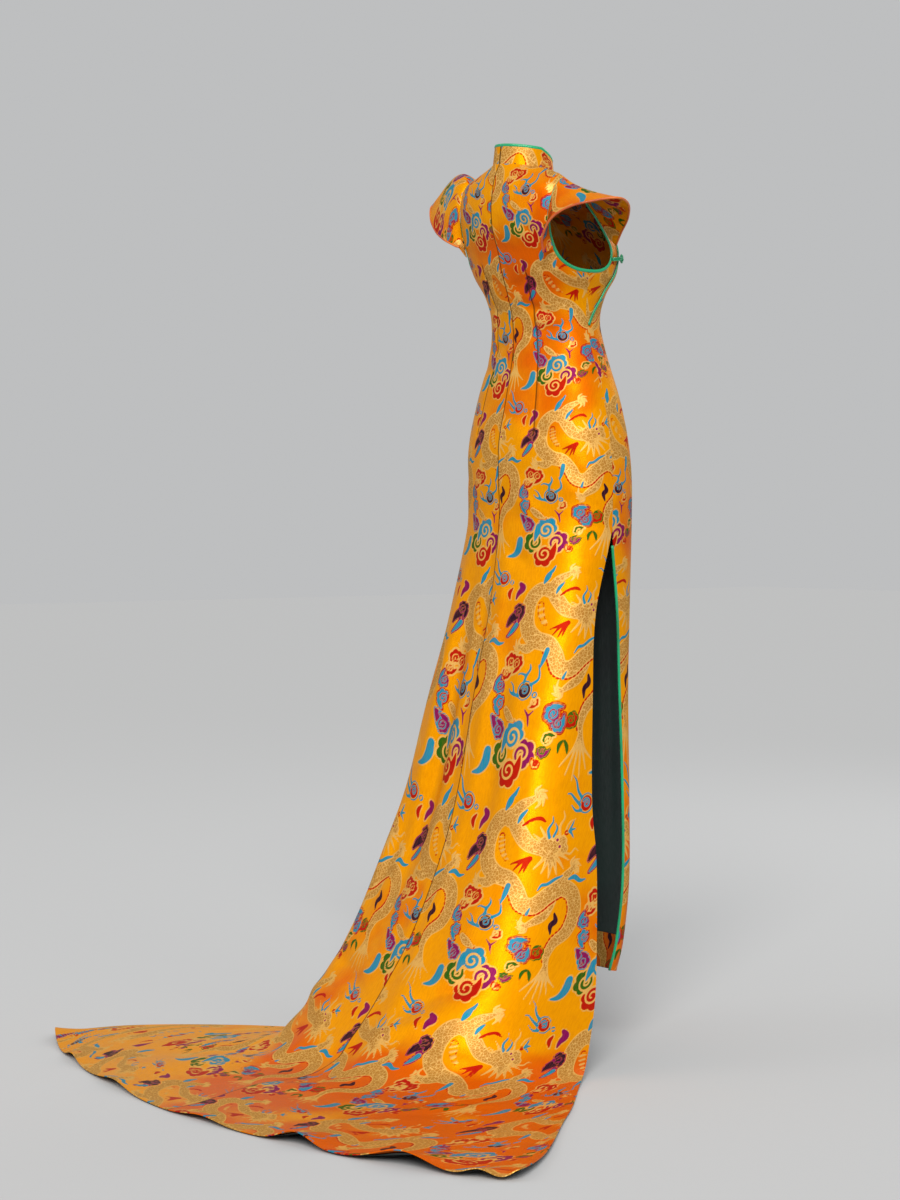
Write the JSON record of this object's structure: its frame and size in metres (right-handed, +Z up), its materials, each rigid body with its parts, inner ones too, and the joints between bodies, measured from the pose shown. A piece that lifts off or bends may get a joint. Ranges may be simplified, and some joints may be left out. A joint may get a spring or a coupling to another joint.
{
  "type": "qipao evening gown",
  "caption": "Worn sleeveless qipao gown with stand collar, wing cap sleeves, curved frog-fastened front opening, side slits and a long fan train; hollow, with no wearer.",
  "frame": {"origin": "between the two shoulder seams, midway from front to back, where the wearer's shoulders hold the gown up", "axes": "+Z up, +X towards the wearer's left, +Y towards the wearer's back and the train"},
  "size_m": [1.3202, 0.9086, 1.5042],
  "materials": {
    "brocade": "gold-orange silk brocade woven with dragons, clouds and flaming pearls in tan, red, blue, green and purple, satin sheen",
    "lining": "dark green satin lining",
    "satin_piping": "emerald green satin bias piping and knotted cord"
  },
  "bodies": {
    "root": {"back_left": "brocade", "back_right": "brocade", "front_main": "brocade", "front_under_arm": "brocade", "front_hem_turn_up": "brocade", "collar_left": "brocade", "collar_right": "brocade", "cap_sleeve_left": "brocade", "cap_sleeve_right": "brocade", "cap_piping_left": "brocade", "cap_piping_right": "brocade", "back_lining": "lining", "front_lining": "lining", "collar_binding_left": "satin_piping", "collar_binding_right": "satin_piping", "armhole_binding_left": "satin_piping", "armhole_binding_right": "satin_piping", "opening_piping": "satin_piping", "slit_piping_left": "satin_piping", "slit_piping_right": "satin_piping", "frog_neck_knot": "satin_piping", "frog_neck_loop": "satin_piping", "frog_chest_knot": "satin_piping", "frog_chest_loop": "satin_piping"}
  },
  "joints": []
}
